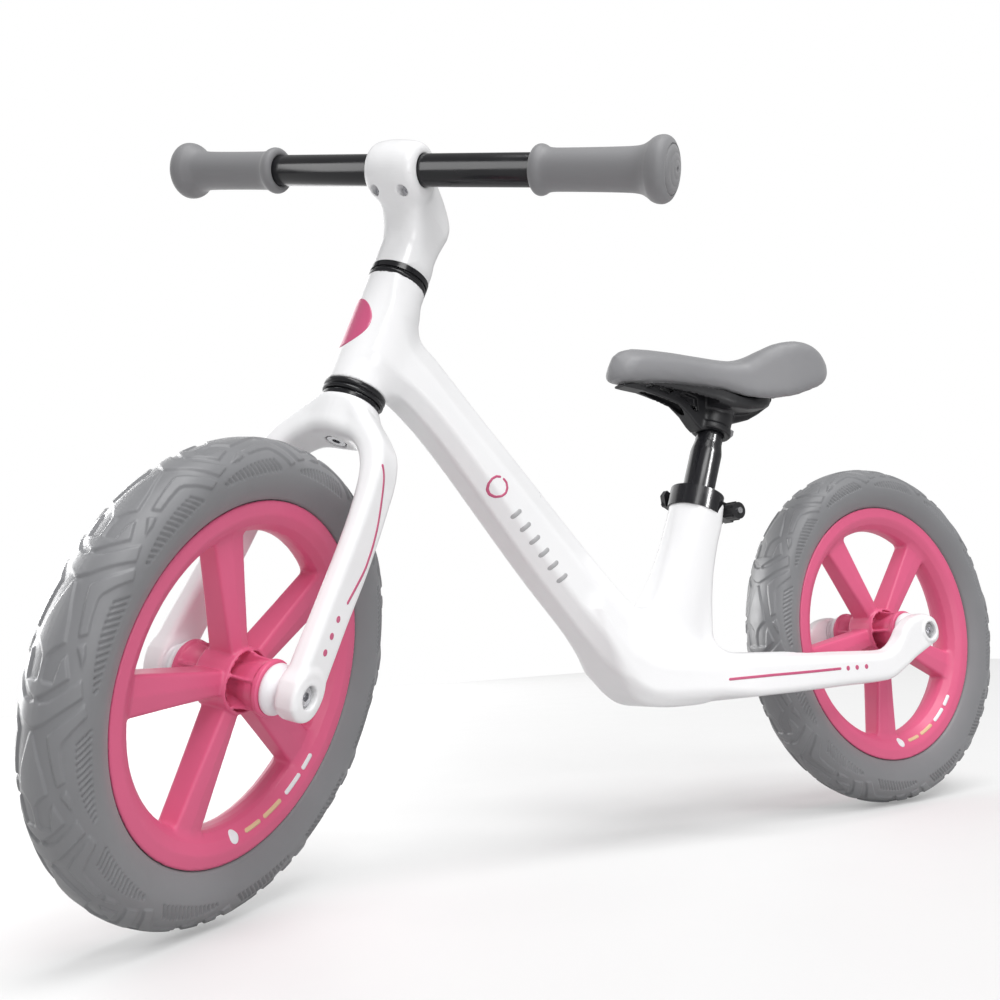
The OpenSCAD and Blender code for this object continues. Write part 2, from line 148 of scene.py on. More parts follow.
def drum(radial, along, r, low, high, k=1.5):
    """Cylinder given a point's distance from its axis and its place along it."""
    return smax(radial - r, smax(low - along, along - high, k), k)


def gradient(field, p, h=0.25):
    """Slope of a field at each of the points, by central differences over h."""
    g = np.empty_like(p)
    for i in range(3):
        q = p.copy()
        q[:, i] += h
        up = field(*q.T)
        q[:, i] -= 2 * h
        g[:, i] = (up - field(*q.T)) / (2 * h)
    return g


SETTLE_STEPS, SETTLE_REACH, FLATTEST = 4, 0.7, 0.05


def skin(field, low, high, cell):
    """Quads over the field's zero surface, their corners moved onto it, with normals."""
    low = np.array(low, float)
    axes = [np.arange(a, b + cell, cell) for a, b in zip(low, high)]
    x, y, z = np.ix_(*axes)
    f = (field(x, y, z) + np.zeros([len(a) for a in axes])).astype(np.float32)
    within = f < 0
    n = np.array(f.shape) - 1
    count = np.zeros(n, np.int8)
    for i, j, k in product((0, 1), repeat=3):
        count += within[i:n[0] + i, j:n[1] + j, k:n[2] + k]
    active = (count > 0) & (count < 8)
    index = np.full(active.shape, -1)
    index[active] = np.arange(active.sum())
    base = np.argwhere(active)
    total, hits = np.zeros((len(base), 3)), np.zeros(len(base))
    for axis in range(3):
        for s in product((0, 1), repeat=2):
            o = np.insert(s, axis, 0)
            e = o.copy()
            e[axis] = 1
            fa = f[tuple((base + o).T)]
            fb = f[tuple((base + e).T)]
            cross = (fa < 0) != (fb < 0)
            place = np.tile(o.astype(float), (len(base), 1))
            place[:, axis] = np.where(cross, fa / np.where(cross, fa - fb, 1), 0)
            total += place * cross[:, None]
            hits += cross
    verts = low + cell * (base + total / hits[:, None])
    quads = []
    for axis in range(3):
        u, w = (axis + 1) % 3, (axis + 2) % 3
        step = np.diff(within.astype(np.int8), axis=axis)
        e = np.argwhere(step != 0)
        e = e[(e[:, u] > 0) & (e[:, w] > 0) & (e[:, u] < n[u]) & (e[:, w] < n[w])]
        way = step[tuple(e.T)]
        eu, ew = np.eye(3, dtype=int)[u], np.eye(3, dtype=int)[w]
        q = np.stack([index[tuple((e - a).T)] for a in (0 * eu, eu, eu + ew, ew)], 1)
        q[way > 0] = q[way > 0][:, ::-1]
        quads.append(q)
    quads = np.vstack(quads)
    for _ in range(SETTLE_STEPS):
        g = gradient(field, verts)
        value = field(*verts.T)
        move = -(value / np.maximum((g * g).sum(1), FLATTEST))[:, None] * g
        size = np.linalg.norm(move, axis=1)
        verts += move * np.minimum(1, SETTLE_REACH * cell / np.maximum(size, 1e-9))[:, None]
    g = gradient(field, verts)
    return verts, quads, g / np.maximum(np.linalg.norm(g, axis=1), 1e-9)[:, None]


# ---------- pieces ----------
def piece(name, verts, faces, body, material, place=ROW, normals=None, stands_for=()):
    """A mesh piece from millimetre corners in a place, riding on a body."""
    data = bpy.data.meshes.new(name)
    data.from_pydata((place.out(verts) * MM).tolist(), [], [list(map(int, f)) for f in faces])
    data.polygons.foreach_set("use_smooth", np.full(len(faces), True))
    if normals is not None:
        data.normals_split_custom_set_from_vertices(place.turn(normals).tolist())
    data.update()
    data.materials.append(material)
    obj = bpy.data.objects.new(name, data)
    bpy.context.scene.collection.objects.link(obj)
    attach(obj, body)
    if stands_for:
        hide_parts(*stands_for)
    return obj


def moulding(name, field, low, high, cell, body, material, slot, place=ROW, stands_for=()):
    """A piece skinned from its field inside a box, with the field's own normals."""
    cell = cell * 1
    verts, quads, normals = skin(field, low, high, cell)
    return piece(name, verts, quads, body, material, place, normals, stands_for)


def ring_quads(count, m):
    """Quads of a closed ring of count stations, each a closed loop of m corners."""
    i, j = np.meshgrid(np.arange(count), np.arange(m), indexing="ij")
    i2, j2 = (i + 1) % count, (j + 1) % m
    return np.stack([i * m + j, i * m + j2, i2 * m + j2, i2 * m + j], 2).reshape(-1, 4)


def lathe(profile, count):
    """Rings of corners turned about the local Y axis from (radius, y) points; closed loop of points."""
    profile = np.asarray(profile, float)
    angle = np.arange(count) * 2 * math.pi / count
    m = len(profile)
    r = np.repeat(profile[None, :, 0], count, 0)
    y = np.repeat(profile[None, :, 1], count, 0)
    verts = np.stack([r * np.sin(angle)[:, None], y, r * np.cos(angle)[:, None]], 2).reshape(-1, 3)
    return verts, ring_quads(count, m)


# ---------- materials ----------
ROUGH_VARY = 0.05


def shader(name, color, rough, mottle=0.03, mottle_scale=9.0, grain=0.08, grain_scale=700.0, depth=0.0002,
           **sockets):
    """Principled surface: slow colour and roughness drift, fine grain bump, constants on the sockets."""
    m = bpy.data.materials.new(name)
    m.use_nodes = True
    nodes, link = m.node_tree.nodes, m.node_tree.links.new
    nodes.clear()
    out = nodes.new("ShaderNodeOutputMaterial")
    bsdf = nodes.new("ShaderNodeBsdfPrincipled")
    link(bsdf.outputs[0], out.inputs[0])
    at = nodes.new("ShaderNodeTexCoord").outputs["Object"]

    def noise(scale, detail=3.0):
        n = nodes.new("ShaderNodeTexNoise")
        n.inputs["Scale"].default_value = scale
        n.inputs["Detail"].default_value = detail
        n.inputs["Roughness"].default_value = 0.55
        link(at, n.inputs["Vector"])
        return n.outputs["Fac"]

    def spread(value, low, high):
        r = nodes.new("ShaderNodeMapRange")
        r.inputs["From Min"].default_value = 0.25
        r.inputs["From Max"].default_value = 0.75
        r.inputs["To Min"].default_value = low
        r.inputs["To Max"].default_value = high
        link(value, r.inputs["Value"])
        return r.outputs["Result"]

    slow = noise(mottle_scale)
    ramp = nodes.new("ShaderNodeValToRGB")
    dark = [c * (1 - mottle) for c in color]
    pale = [min(1.0, c * (1 + mottle)) for c in color]
    ramp.color_ramp.elements[0].position = 0.3
    ramp.color_ramp.elements[0].color = (*dark, 1)
    ramp.color_ramp.elements[1].position = 0.7
    ramp.color_ramp.elements[1].color = (*pale, 1)
    link(slow, ramp.inputs["Fac"])
    link(ramp.outputs["Color"], bsdf.inputs["Base Color"])
    drift = spread(noise(mottle_scale * 6), max(0.0, rough - ROUGH_VARY), rough + ROUGH_VARY)
    link(drift, bsdf.inputs["Roughness"])
    if grain:
        bump = nodes.new("ShaderNodeBump")
        bump.inputs["Strength"].default_value = grain
        bump.inputs["Distance"].default_value = depth
        link(noise(grain_scale, 2.0), bump.inputs["Height"])
        link(bump.outputs["Normal"], bsdf.inputs["Normal"])
    for key, value in sockets.items():
        bsdf.inputs[key.replace("_", " ")].default_value = value
    return m


WHITE = shader("white_lacquer", (0.86, 0.86, 0.87), 0.32, mottle=0.008, grain=0.05, grain_scale=160,
               depth=0.0003, Coat_Weight=0.35, Coat_Roughness=0.12)
WHITE_PLASTIC = shader("white_plastic", (0.80, 0.81, 0.83), 0.36, mottle=0.01, grain=0.06)
PINK = shader("pink_plastic", (0.69, 0.112, 0.232), 0.42, mottle=0.04, grain=0.10, grain_scale=900)
PINK_INK = shader("pink_ink", (0.56, 0.09, 0.20), 0.30, mottle=0.02, grain=0.0, Coat_Weight=0.3)
SAND_INK = shader("sand_ink", (0.72, 0.50, 0.30), 0.35, mottle=0.02, grain=0.0)
GREY_INK = shader("grey_ink", (0.42, 0.42, 0.43), 0.35, mottle=0.02, grain=0.0)
FOAM = shader("tyre_foam", (0.196, 0.198, 0.207), 0.47, mottle=0.05, mottle_scale=14, grain=0.16,
              grain_scale=420, depth=0.00025, Sheen_Weight=0.15, Sheen_Roughness=0.5)
GRIP = shader("grip_rubber", (0.205, 0.205, 0.213), 0.55, mottle=0.04, grain=0.14, grain_scale=800,
              Sheen_Weight=0.2, Sheen_Roughness=0.5)
COVER = shader("saddle_cover", (0.230, 0.230, 0.240), 0.48, mottle=0.03, mottle_scale=20, grain=0.20,
               grain_scale=950, depth=0.00015, Sheen_Weight=0.25, Sheen_Roughness=0.45)
BLACK_PLASTIC = shader("black_plastic", (0.014, 0.014, 0.016), 0.40, mottle=0.15, grain=0.16,
                       grain_scale=1100)
BLACK = shader("black_paint", (0.011, 0.011, 0.013), 0.20, mottle=0.10, grain=0.03, grain_scale=220,
               Specular_IOR_Level=0.40)
STEEL = shader("zinc_steel", (0.60, 0.60, 0.62), 0.28, mottle=0.06, mottle_scale=60, grain=0.10,
               grain_scale=1500, depth=0.0001, Metallic=1.0)

SLOT_MATERIAL = {
    "white_paint": WHITE, "white_plastic": WHITE_PLASTIC, "pink_plastic": PINK, "foam_tyre": FOAM,
    "grip_rubber": GRIP, "saddle_cover": COVER, "black_plastic": BLACK_PLASTIC, "black_paint": BLACK,
    "zinc_steel": STEEL}

# CAD nodes that stay are given their finish and softened edges
for part in frame["record"]["subparts"]:
    node = frame["nodes"][part["node"]]
    node.data.materials.clear()
    node.data.materials.append(SLOT_MATERIAL[part["material_slot"]])
    soft = node.modifiers.new("edges", "BEVEL")
    soft.width = 0.35 * MM
    soft.segments = 2
    soft.limit_method = "ANGLE"
    soft.angle_limit = math.radians(32)
    soft.harden_normals = True

# ---------- frame ----------
UNDERSIDE = curve([(520, 362), (481, 330), (467, 320.5), (456.8, 311.5), (441.8, 295.8), (421.3, 271),
                   (395.9, 238.5), (364.3, 198.5), (331.7, 160), (305, 128), (292, 112.5), (279, 104),
                   (262, 100.8), (230, 100), (150, 100.5)])
ABOVE = np.vstack([UNDERSIDE, [(-200, 100), (-200, 700), (700, 700)]])
TOPSIDE = curve([(475, 425), (453, 386), (450.8, 374), (446, 363), (434, 350.5), (403.2, 315.2),
                 (371.7, 280.3), (339.3, 243.7), (305.9, 206.7), (288.8, 188.6), (272, 172),
                 (252, 154), (225, 140)])
BELOW = np.vstack([TOPSIDE, [(-200, 100), (-200, 0), (700, 0), (700, 640)]])
STAY_SIDE = np.vstack([
    curve([(318, 176), (302, 156), (288, 143), (272, 137), (250, 136), (186, 136.5), (97, 134), (60, 132.6),
           (48, 134.5), (39, 140.5), (31, 149.5), (21, 156), (10, 159), (0, 159.2), (-10, 155), (-14.2, 145),
           (-11.5, 136), (0, 130.5), (16.8, 123), (31, 115), (46, 108), (62, 105.6), (116, 104.8),
           (206, 102.5), (262, 100.6)]),
    [(279, 104), (292, 112.5), (305, 128)]])
FOOT_FRONT = curve([(285, 150), (274, 163), (262, 174.5), (250.5, 189), (240.8, 206), (231.5, 223),
                    (224.5, 239), (219.5, 252)])
FOOT_SIDE = np.vstack([FOOT_FRONT, curve([(184, 252), (187, 236), (192.5, 223), (196.5, 210), (199.6, 195),
                                          (202.5, 165), (203.4, 145), (204, 118)])])
AHEAD = np.vstack([FOOT_FRONT, [(219.5, 400), (0, 400), (0, 100), (285, 100)]])
PLAN = mirrored(curve([(-20, 57.2), (90, 57.2), (130, 56.6), (160, 53.8), (188, 48), (214, 40.3), (240, 33),
                       (265, 27.3), (290, 22.8), (345, 19)]))
GAP = mirrored(curve([(-60, 44), (100, 44), (138, 43.5), (154, 37), (163, 24), (167, 8)]))
HEAD_LOW, HEAD_HIGH, HEAD_R = 204.8, 288.8, 21.0
BORE_R, POST_BORE_R, BOSS_R = 14.7, 13.1, 14.0
BOLT_RECESS_R, BOLT_SEAT = 6.9, 50.0
END_RING = {"r": 9.8, "low": 50.0, "high": 58.2, "k": 1.4}       # raised ring round each axle bolt
SEAT_TUBE_R, SEAT_TUBE_LOW, SEAT_TUBE_HIGH = 18.0, -112.0, 12.0
TUBE_HALF = 20.5
TUBE_BACK = 238.0


def local_xz(place, x, z):
    """Coordinates ahead and along in a place whose Y is the row's Y."""
    dx, dz = x - place.origin[0], z - place.origin[2]
    ex, ez = place.axes[0], place.axes[2]
    return dx * ex[0] + dz * ex[2], dx * ez[0] + dz * ez[2]


def frame_field(x, y, z):
    """Head tube, down tube, seat tube and the two stays, blended into one moulding."""
    wide = np.abs(y)
    under, over = inside_of(x, z, ABOVE), inside_of(x, z, BELOW)
    ahead, up = local_xz(HEAD, x, z)
    back, high = local_xz(SEAT, x, z)
    tube = smax(smax(under, over, 3), np.maximum(TUBE_BACK - x, ahead - 4), 12)
    sides = smax((wide - 10.5 + 0.9 * under) / 1.345, (wide - 9 + 0.62 * over) / 1.177, 2)
    tube = smax(tube, smax(sides, wide - TUBE_HALF, 2), 3)

    plan = inside_of(x, y, PLAN)
    side = inside_of(x, z, STAY_SIDE)
    # how much the stay's sides lean in, above and below its middle
    lower = np.clip((126 - z) / 16, 0, 1)
    upper_lean = np.interp(x, [0, 30, 60, 90, 240, 300], [0.05, 0.12, 0.35, 0.45, 0.45, 0.3])
    lower_lean = np.interp(x, [190, 262], [0.16, 0.8])
    lean = upper_lean * (1 - lower) + lower_lean * lower
    slanted = (side + lean * (plan + 13)) / np.sqrt(1 + lean * lean)
    stays = smax(smax(side, slanted, 1), plan, 5)
    body = smin(tube, stays, 20)

    facet = np.interp(z, [150, 177, 188, 206, 240, 252], [13, 11, 9, 6.5, 3.5, 2])
    foot = smax(inside_of(x, z, FOOT_SIDE), wide - 17.5, 9)
    foot = smax(foot, (wide - facet + 1.25 * inside_of(x, z, AHEAD)) / 1.6, 2)
    seat_radial = np.sqrt(back * back + y * y)
    round_tube = drum(seat_radial, high, SEAT_TUBE_R, SEAT_TUBE_LOW, SEAT_TUBE_HIGH, 1)
    body = smin(body, smin(foot, round_tube, 12), 17)
    body = smax(body, under, 3)

    radial = np.sqrt(ahead * ahead + y * y)
    body = smin(body, drum(radial, up, HEAD_R, HEAD_LOW, HEAD_HIGH, 1.2), 10)
    body = smax(body, -inside_of(x, y, GAP), 4)
    boss = np.sqrt((x - REAR_AXLE[0]) ** 2 + (z - REAR_AXLE[2]) ** 2)
    body = smin(body, drum(boss, wide, **END_RING), 1.2)
    body = smax(body, -drum(radial, up, BORE_R, HEAD_LOW - 20, HEAD_HIGH + 20), 0.6)
    body = smax(body, -drum(seat_radial, high, POST_BORE_R, SEAT_TUBE_LOW - 22, 30), 0.6)
    return smax(body, -drum(boss, wide, BOLT_RECESS_R, BOLT_SEAT, 80), 1.2)


FRAME_LOW, FRAME_HIGH = (-22, -63, 94), (522, 63, 420)
moulding("frame_moulding", frame_field, FRAME_LOW, FRAME_HIGH, 1.7, "frame", WHITE, "white_paint",
         stands_for=("frame",))

# ---------- fork ----------
CROWN_TOP, ARCH_H = 194.0, 166.0
RAKE = float(FORK.axes[0] @ (FRONT_AXLE - STEER_POINT))
FORK_HALF = np.vstack([
    curve([(19.3, 200), (20.5, 190), (26, 183.5), (35, 174.5), (43.3, 164.5), (48, 152), (50.3, 136),
           (52.3, 105), (54.6, 55), (57, 14), (57.3, -18)]),
    curve([(44, -18), (44, 8), (42.6, 50), (39.8, 105), (36.3, 136), (31, 151.5), (23, 161), (12, 166),
           (0, 167.2)]),
    [(-5, 167.2), (-5, 200)]])
FORK_SIDE = np.vstack([
    curve([(19.3, 200), (18.8, 188), (17.2, 176), (16.4, 160), (16.4, 130), (17.8, 100), (21.3, 60),
           (24.6, 28), (RAKE + BOSS_R, 4)]),
    curve([(RAKE + 9.5, -10.5), (RAKE, -BOSS_R), (RAKE - 9.5, -10.5), (RAKE - BOSS_R, 2), (-3.8, 25),
           (-7, 52), (-10.6, 80), (-12, 105), (-12.6, 128), (-14, 155), (-15.5, 172), (-18.3, 187),
           (-19.3, 200)])])
CROWN_CAP = ([150, 174, 184, 194, 200], [80, 40, 28, 20.4, 18.8])      # widest radius at each height


def fork_field(x, y, z):
    """Crown and two legs, with the axle bosses at their feet."""
    wide = np.abs(y)
    corner = np.interp(z, [0, 140, 180], [5.5, 6.5, 10])
    shape = smax(inside_of(wide, z, FORK_HALF) - 0.4, inside_of(x, z, FORK_SIDE), corner)
    radial = np.sqrt(x * x + y * y)
    shape = smin(shape, drum(radial, z, 19.2, 168, 214, 9), 5)
    boss = np.sqrt((x - RAKE) ** 2 + z * z)
    shape = smin(shape, drum(boss, wide, BOSS_R, 44, 57, 3), 5)
    shape = smin(shape, drum(boss, wide, **END_RING), 1.2)
    shape = smax(shape, radial - np.interp(z, *CROWN_CAP), 3)
    shape = smax(shape, z - CROWN_TOP, 1.2)
    shape = smax(shape, -drum(radial, z, 7.5, 120, ARCH_H + 5.5), 1)
    shape = smax(shape, -drum(boss, wide, BOLT_RECESS_R, BOLT_SEAT, 80), 1.2)
    return shape


moulding("fork_moulding", fork_field, (-24, -63, -20), (34, 63, 200), 1.5, "front_end", WHITE,
         "white_paint", FORK, ("fork",))

# ---------- stem ----------
BAR_AHEAD, BAR_H, BAR_R = 43.4, 356.0, 11.1
STEM_LOW = 297.5
SCREW_TILT = math.radians(37)
SCREW_Y = 10.8
STEM_SIDE = curve([(-18.6, 296), (-18.4, 310), (-18.6, 325), (-20.4, 336), (-22, 345), (-21, 353),
                   (-15, 360), (-4, 366), (8, 370), (24, 373.4), (43.4, 374.6), (56.5, 369.5), (62, 357),
                   (61, 346), (54.5, 338), (44, 333), (32, 329.5), (24, 322), (19.8, 312), (18.6, 303),
                   (18.4, 296)], steps=5)
WEB_Z, WEB_HALF = [297, 315, 328, 342, 352, 375], [16, 16, 16.2, 16.6, 15.5, 13]
SCREW_R, SCREW_DEPTH, SCREW_DROP = 3.6, 6.2, 13.8


def stem_field(x, y, z):
    """Stem with its cap in one surface: neck, web and the jaw round the bar, with two screw holes."""
    wide = np.abs(y)
    bar = np.sqrt((x - BAR_AHEAD) ** 2 + (z - BAR_H) ** 2)
    side = inside_of(x, z, STEM_SIDE)
    web = smax(side, wide - np.interp(z, WEB_Z, WEB_HALF), 13)
    radial = np.sqrt(x * x + y * y)
    neck = drum(radial, z, 17.2, STEM_LOW - 20, 312, 10)
    jaw = drum(bar, wide, 18.8, -60, 19.3, 7)
    shape = smin(smin(web, neck, 8), jaw, 7)
    shape = smax(shape, STEM_LOW - z, 1.0)
    shape = smax(shape, -drum(bar, wide, BAR_R + 0.1, -1, 40), 1.2)
    depth = (x - BAR_AHEAD) * math.cos(SCREW_TILT) - (z - BAR_H) * math.sin(SCREW_TILT)
    cross = (x - BAR_AHEAD) * math.sin(SCREW_TILT) + (z - BAR_H) * math.cos(SCREW_TILT)
    hole = np.sqrt((wide - SCREW_Y) ** 2 + (cross + SCREW_DROP) ** 2)
    return smax(shape, -drum(hole, depth, SCREW_R, SCREW_DEPTH, 40, 0.5), 0.8)


STEM_BOX = (-26, -24, 290), (68, 24, 382)
moulding("stem_moulding", stem_field, *STEM_BOX, 0.9, "front_end", WHITE, "white_paint", FORK,
         ("stem", "stem_cap"))

# ---------- wheels ----------
WHEEL_AXLE_R, HUB_HALF = 8.0, 32.0
REAR_SPOKE, FRONT_SPOKE = 32.0, 40.0          # the first spoke's turn from straight up, in degrees
SPOKES = 5
WHEEL_ENDS = (("rear", REAR_WHEEL, REAR_SPOKE), ("front", FRONT_WHEEL, FRONT_SPOKE))


def rim_field(first_spoke):
    """Rim, hub and spokes of a wheel whose first spoke stands at that many degrees."""
    def field(x, y, z):
        r = np.sqrt(x * x + z * z)
        wide = np.abs(y)
        inner = np.interp(wide, [0, 4, 7, 12, 15], [89.2, 89.5, 90.4, 94.5, 99.8])
        band = smax(smax((inner - r) * 0.82, r - 109.0, 1.4), wide - 15.2, 1.4)
        channel = smax(np.abs(r - 112) - 6.5, wide - 12.9, 1)
        band = smax(band, -channel, 1.2)
        core = smax(r - 20.2, wide - 12.6, 2)
        pocket = smax(smax(10.5 - r, r - 18.0, 0.8), 5.0 - wide, 1)
        core = smax(core, -pocket, 0.8)
        barrel_r = np.interp(wide, [0, 10, 13, 22, 27, 30, 33], [10.5, 10.7, 11.6, 14.6, 15.6, 16.0, 16.0])
        barrel = smax((r - barrel_r) * 0.95, wide - HUB_HALF, 1)
        lip = smax(np.abs(r - 14) - 3.0, np.abs(wide - (HUB_HALF - 1.6)) - 1.6, 1.2)
        shape = smin(smin(barrel, lip, 2), core, 1)
        for i in range(SPOKES):
            a = math.radians(first_spoke + 360 / SPOKES * i)
            along = x * math.sin(a) + z * math.cos(a)
            across = x * math.cos(a) - z * math.sin(a)
            half = np.interp(along, [12, 18, 92, 100], [7.2, 7.2, 12.2, 13.4])
            thick = np.interp(along, [12, 22, 60, 88, 98], [10.8, 10.4, 9.2, 8.6, 10.5])
            flat = smax(np.abs(across) - half, wide - thick + 1.1 * np.abs(across) / half, 2.6)
            spoke = smax(flat, smax(17.6 - along, along - 98, 2), 1)
            shape = smin(shape, spoke, 1.6)
            b = a - math.radians(18)
            reach = x * math.sin(b) + z * math.cos(b)
            rib_end = np.interp(wide, [0, 12, 20, 30], [19, 18.6, 16.8, 16.4])
            rib = smax(np.abs(x * math.cos(b) - z * math.sin(b)) - 0.95,
                       smax(smax(8 - reach, reach - rib_end, 1), wide - 30, 1), 0.8)
            shape = smin(shape, rib, 1.2)
        shape = smin(shape, band, 3)
        return smax(shape, WHEEL_AXLE_R - r, 0.6)
    return field


for end, place, first in WHEEL_ENDS:
    moulding(end + "_rim_moulding", rim_field(first), (-111, -34, -111), (111, 34, 111), 1.5,
             end + "_wheel", PINK, "pink_plastic", place, (end + "_rim",))

# ---------- tyres ----------
REPEATS = 12
PITCH = 2 * math.pi * TYRE_R / REPEATS
SECTION = curve([(TYRE_R, 0), (144.8, 4), (144.1, 7.6), (142.6, 11.5), (140.4, 15.2), (137.4, 18.4),
                 (133.5, 20.8), (129.5, 21.8), (125.5, 21.9), (121, 21.1), (116.5, 19.3), (112.5, 16.9),
                 (110.2, 15.2), (109.4, 14.1), (109.3, 12.5)], steps=8)
CROWN_BLOCK = [(1.0, 1.0), (10, 3.8), (20, 7), (31, 9), (34.5, 5), (38.7, 1.9), (44.5, 0.9), (50.3, 1.1),
               (51.3, 2.4), (51.3, 8.2), (45.5, 8.8), (40, 9.5), (36.3, 11.2), (42.4, 13.4), (47.6, 15.3),
               (52, 10.8), (57, 5), (59.6, 1.0), (61, 0.9), (61.6, 3), (60, 7.8), (53.4, 14.9), (46.8, 21),
               (55.9, 23.5), (61.9, 17), (67.4, 11), (71.6, 6.5), (74.5, 1.2), (74.5, -6), (1.0, -6)]
SIDE_BLOCK = [(-17, 25.2), (-10, 19), (-4.5, 13.5), (0.3, 9.6), (1.6, 9.3), (5, 9.9), (15, 11.8), (27, 14),
              (24.3, 17.9), (16, 16.9), (7.4, 16.1), (5.4, 16.2), (3, 17), (-3, 21), (-10.5, 27.3)]
SMALL_BLOCK = [(31.8, 15), (28.8, 18.2), (34.5, 19.8), (42, 19.8), (36.8, 17.6)]
TEETH, BLOCK_H, TOOTH_H = 14, 1.15, 1.0
SLOPE = 0.85                        # width of a block's or tooth's flank
TREAD_END = 36.0                    # the tread stops this far from the crown line
SEAT_R, SEAT_HALF, LIP_R = 105.5, 12.3, 109.0     # where the tyre sits in the rim


def tread(s, v):
    """Height of the tread at s along one repeat and v from the crown line, in millimetres."""
    v = np.abs(v)
    high = np.zeros(np.broadcast(s, v).shape)
    for block in (CROWN_BLOCK, SIDE_BLOCK, SMALL_BLOCK):
        for shift in (-PITCH, 0, PITCH):
            edge = inside_of(s - shift, v, block)
            t = np.clip(-edge / SLOPE + 0.35, 0, 1)
            high = np.maximum(high, BLOCK_H * smoothstep(t))
    for i in range(TEETH):
        t = i / (TEETH - 1)
        a = np.array([4.9 + 48.0 * t, 23.9 + 5.6 * t * t])
        b = np.array([-1.5 + 53.0 * t, 31.0 + 0.7 * math.sin(math.pi * t)])
        e = b - a
        for shift in (-PITCH, 0, PITCH):
            along = np.clip(((s - shift - a[0]) * e[0] + (v - a[1]) * e[1]) / (e @ e), 0, 1)
            d = np.hypot(s - shift - a[0] - e[0] * along, v - a[1] - e[1] * along)
            high = high - TOOTH_H * smoothstep(np.clip(1.5 - d / SLOPE, 0, 1))
    return high


def tyre(name, place, body, phase, stands_for):
    """A foam tyre: its section swept round the wheel, with the tread raised on it."""
    per_pitch = 96
    lengths = np.concatenate([[0], np.cumsum(np.hypot(*np.diff(SECTION, axis=0).T))])
    fine = np.arange(0, 34.4, 0.62)
    coarse = np.linspace(35.4, lengths[-1], 9)
    v_half = np.concatenate([fine, coarse])
    r_half = np.interp(v_half, lengths, SECTION[:, 0])
    y_half = np.interp(v_half, lengths, SECTION[:, 1])
    v = np.concatenate([-v_half[::-1], v_half[1:]])
    r = np.concatenate([r_half[::-1], r_half[1:]])
    y = np.concatenate([-y_half[::-1], y_half[1:]])
    tangent = np.gradient(np.stack([r, y], 1), axis=0)
    tangent /= np.linalg.norm(tangent, axis=1)[:, None]
    out_r, out_y = tangent[:, 1], -tangent[:, 0]
    s = np.arange(per_pitch) * PITCH / per_pitch
    high = tread(s[:, None], v[None, :])
    high = np.tile(high, (REPEATS, 1))
    count = per_pitch * REPEATS
    angle = (np.arange(count) * PITCH / per_pitch + phase) / TYRE_R
    rr = r[None, :] - BLOCK_H + out_r[None, :] * high
    off_crown = np.abs(v)[None, :]
    rr = np.where(off_crown < TREAD_END, rr + BLOCK_H * np.clip((off_crown - 20) / 14, 0, 1), r[None, :])
    yy = y[None, :] + out_y[None, :] * high
    rr = np.concatenate([rr, np.tile([LIP_R, SEAT_R, SEAT_R, LIP_R], (count, 1))], 1)
    yy = np.concatenate([yy, np.tile([SEAT_HALF, SEAT_HALF, -SEAT_HALF, -SEAT_HALF], (count, 1))], 1)
    verts = np.stack([rr * np.sin(angle)[:, None], yy, rr * np.cos(angle)[:, None]], 2).reshape(-1, 3)
    faces = ring_quads(count, rr.shape[1])[:, [0, 3, 2, 1]]
    return piece(name, verts, faces, body, FOAM, place, stands_for=stands_for)


REAR_PHASE, FRONT_PHASE = 182.0, 218.6      # where the tread's first repeat starts, along the tyre
tyre("rear_tyre_tread", REAR_WHEEL, "rear_wheel", REAR_PHASE, ("rear_tyre",))
tyre("front_tyre_tread", FRONT_WHEEL, "front_wheel", FRONT_PHASE, ("front_tyre",))

# ---------- grips ----------
BAR_PLACE = Place(FORK.out((BAR_AHEAD, 0, BAR_H)), *FORK.axes)
GRIP_LINE = curve([(11.15, 103.6), (12.2, 103.1), (14.2, 103.4), (15.9, 104.9), (16.5, 107.2), (15.9, 109.6),
                   (14.6, 112.0), (13.9, 115.5), (13.7, 122), (13.75, 145), (14.0, 165), (14.4, 172.5),
                   (15.3, 177.0), (17.2, 180.6), (18.3, 182.2), (19.6, 184.0), (20.6, 187.0), (20.6, 190.5),
                   (19.2, 193.2), (17.2, 194.6), (16.1, 195.2)], steps=4)
GRIP_CAP = [(15.7, 195.2), (15.5, 194.5), (15.1, 194.5), (14.9, 195.4), (13, 196.3), (10.4, 197.1),
            (10.1, 197.0), (9.8, 197.2), (6, 198.0), (5.7, 197.9), (5.4, 198.1), (2.2, 198.5), (1.7, 198.3),
            (1.5, 197.5), (1.5, 191.0), (1.2, 190.5), (11.0, 190.5)]
for side, sign in (("left", 1), ("right", -1)):
    line = np.vstack([GRIP_LINE, GRIP_CAP]) * (1, sign)
    corners, quads = lathe(line, 128)
    if sign > 0:
        quads = quads[:, ::-1]
    piece(side + "_grip_sleeve", corners, quads, "front_end", GRIP, BAR_PLACE,
          stands_for=(side + "_grip",))

# ---------- saddle ----------
PAD_HALF = curve([(279.5, 0), (278, 5.5), (274, 9.5), (268, 12.8), (258, 15.6), (240, 18), (215, 21.3),
                  (190, 26.5), (165, 35.5), (145, 44.5), (128, 52), (112, 56.5), (99, 56.8), (86, 51.5),
                  (76, 40), (69.5, 24), (67, 0)], steps=4)
PAD_PLAN = np.vstack([PAD_HALF, (PAD_HALF[1:-1] * (1, -1))[::-1]])
